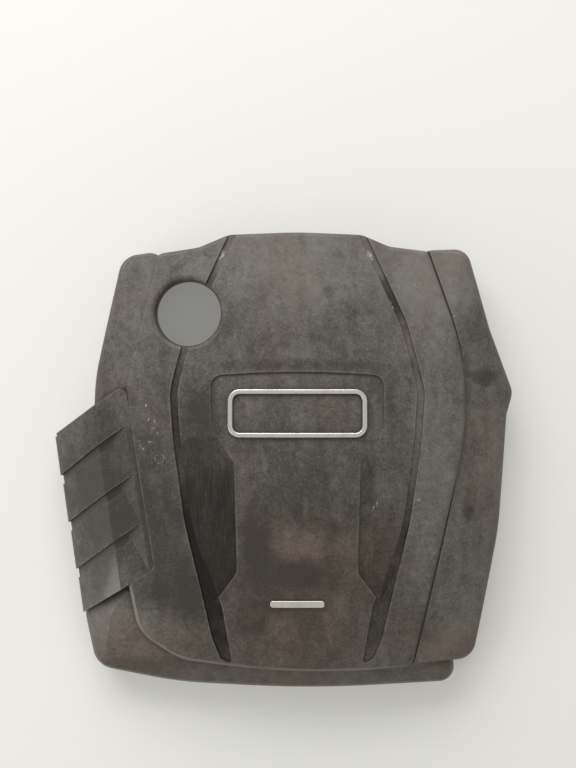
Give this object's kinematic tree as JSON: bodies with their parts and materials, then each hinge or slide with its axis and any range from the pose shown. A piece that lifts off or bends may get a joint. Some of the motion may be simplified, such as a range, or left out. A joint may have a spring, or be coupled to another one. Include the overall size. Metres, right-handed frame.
{
  "type": "engine cover",
  "caption": "Moulded plastic engine cover with a crowned centre panel, slanted fins along one side, an oil filler opening and rubber stud sockets underneath.",
  "frame": {"origin": "middle of the cover's outline, on the plane its rim rests on", "axes": "+Z out of the visible top, +Y to the rear edge with the filler opening, +X to the smooth flank"},
  "size_m": [0.4754, 0.474, 0.0925],
  "materials": {
    "moulded_plastic": "fine moulded grain, dusty",
    "bright_trim": "satin chrome",
    "foam": "open cell foam",
    "spring_steel": "zinc plated",
    "rubber": "matt"
  },
  "bodies": {
    "root": {"cover_shell": "moulded_plastic", "badge_frame": "bright_trim", "name_bar": "bright_trim", "absorber_pad": "foam", "absorber_clips": "spring_steel", "grommet_rear_left": "rubber", "grommet_rear_right": "rubber", "grommet_front_left": "rubber", "grommet_front_right": "rubber"}
  },
  "joints": []
}
